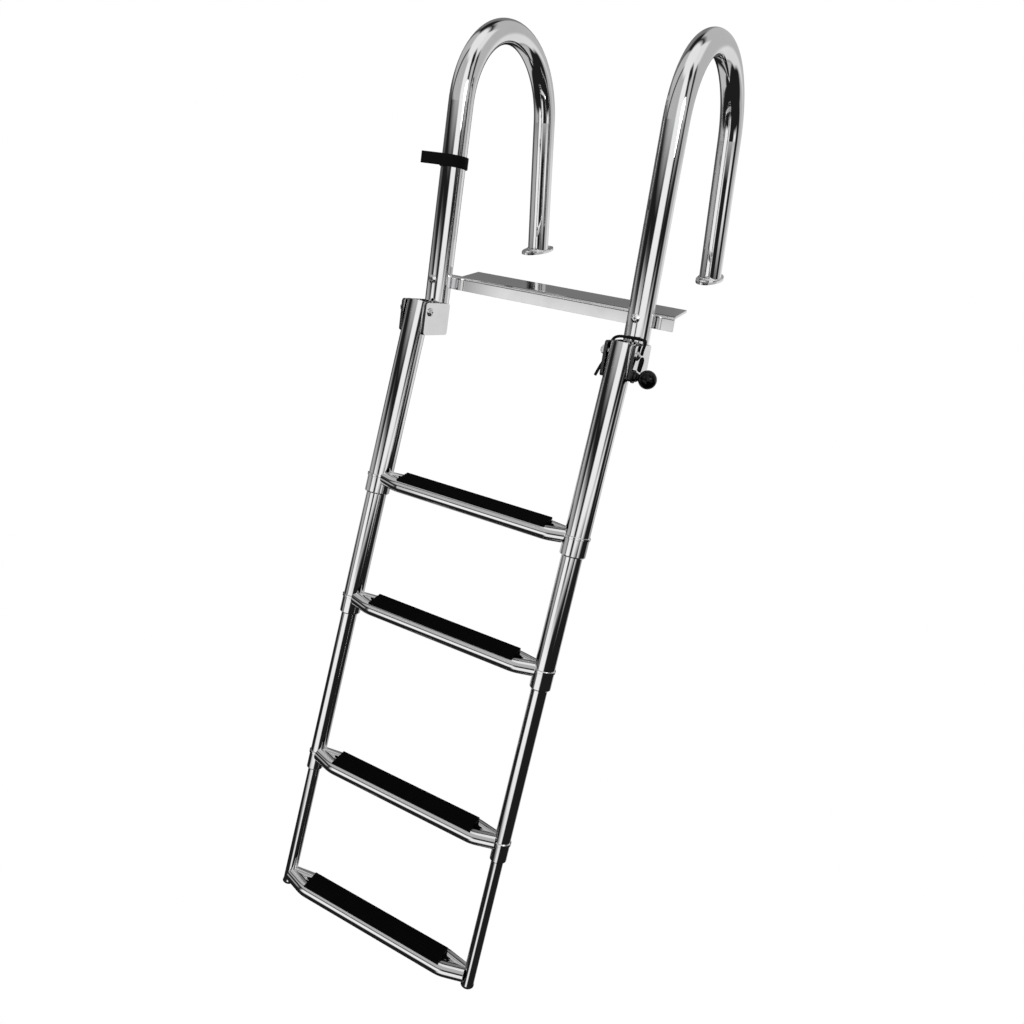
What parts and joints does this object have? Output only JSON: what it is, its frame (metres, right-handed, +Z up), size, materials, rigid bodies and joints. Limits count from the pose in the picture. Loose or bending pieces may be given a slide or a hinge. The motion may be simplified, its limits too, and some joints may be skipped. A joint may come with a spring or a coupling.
{
  "type": "folding telescoping boat ladder",
  "caption": "Polished stainless boarding ladder: two hooked handrails stand on a deck, and telescoping sections with black treads hang from a folding pivot.",
  "frame": {"origin": "middle of the deck angle's underside, which lies on the deck at its edge", "axes": "+X across the ladder, +Y inboard over the deck, +Z up"},
  "size_m": [0.3861, 0.6859, 1.0994],
  "materials": {
    "polished_steel": "mirror-polished stainless tube",
    "plate_steel": "polished stainless plate",
    "bolt_steel": "polished stainless",
    "tread_plastic": "ribbed black moulding",
    "plug_plastic": "black moulding",
    "knob_plastic": "glossy black ball",
    "lock_body": "black",
    "webbing": "woven black webbing",
    "cord": "braided black cord"
  },
  "bodies": {
    "handrails": {"left_handrail": "polished_steel", "right_handrail": "polished_steel", "left_foot_flange": "plate_steel", "right_foot_flange": "plate_steel", "deck_angle": "plate_steel", "left_leg_bolt": "bolt_steel", "right_leg_bolt": "bolt_steel", "left_pivot_bolt": "bolt_steel", "right_pivot_bolt": "bolt_steel", "left_inner_cheek": "plate_steel", "left_outer_cheek": "plate_steel", "right_inner_cheek": "plate_steel", "right_outer_cheek": "plate_steel", "storage_strap": "webbing", "lock_housing": "lock_body", "lanyard_loop": "cord", "lanyard": "cord"},
    "knob": {"lock_knob": "knob_plastic"},
    "section_1": {"section_1_left_stile": "polished_steel", "section_1_right_stile": "polished_steel", "section_1_front_rail": "polished_steel", "section_1_rear_rail": "polished_steel", "section_1_tread": "tread_plastic", "section_1_left_collar": "polished_steel", "section_1_right_collar": "polished_steel"},
    "section_2": {"section_2_left_stile": "polished_steel", "section_2_right_stile": "polished_steel", "section_2_front_rail": "polished_steel", "section_2_rear_rail": "polished_steel", "section_2_tread": "tread_plastic", "section_2_left_collar": "polished_steel", "section_2_right_collar": "polished_steel"},
    "section_3": {"section_3_left_stile": "polished_steel", "section_3_right_stile": "polished_steel", "section_3_front_rail": "polished_steel", "section_3_rear_rail": "polished_steel", "section_3_tread": "tread_plastic", "section_3_left_collar": "polished_steel", "section_3_right_collar": "polished_steel"},
    "section_4": {"section_4_left_stile": "polished_steel", "section_4_right_stile": "polished_steel", "section_4_front_rail": "polished_steel", "section_4_rear_rail": "polished_steel", "section_4_tread": "tread_plastic", "section_4_left_end_plug": "plug_plastic", "section_4_right_end_plug": "plug_plastic"}
  },
  "joints": [
    {"name": "ladder_fold", "type": "hinge", "parent": "handrails", "child": "section_1", "pos_m": [0, -0.08769, -0.033], "axis": [-1, 0, 0], "range_deg": [0, 165.2]},
    {"name": "section_2_slide", "type": "slide", "parent": "section_1", "child": "section_2", "axis": [0, 0.3843, 0.9232], "range_m": [0, 0.122]},
    {"name": "section_3_slide", "type": "slide", "parent": "section_2", "child": "section_3", "axis": [0, 0.3843, 0.9232], "range_m": [0, 0.177]},
    {"name": "section_4_slide", "type": "slide", "parent": "section_3", "child": "section_4", "axis": [0, 0.3843, 0.9232], "range_m": [0, 0.131]},
    {"name": "lock_pull", "type": "slide", "parent": "handrails", "child": "knob", "axis": [1, 0, 0], "range_m": [0, 0.008], "stiffness_N_per_m": 400, "springref_m": -0.004}
  ]
}
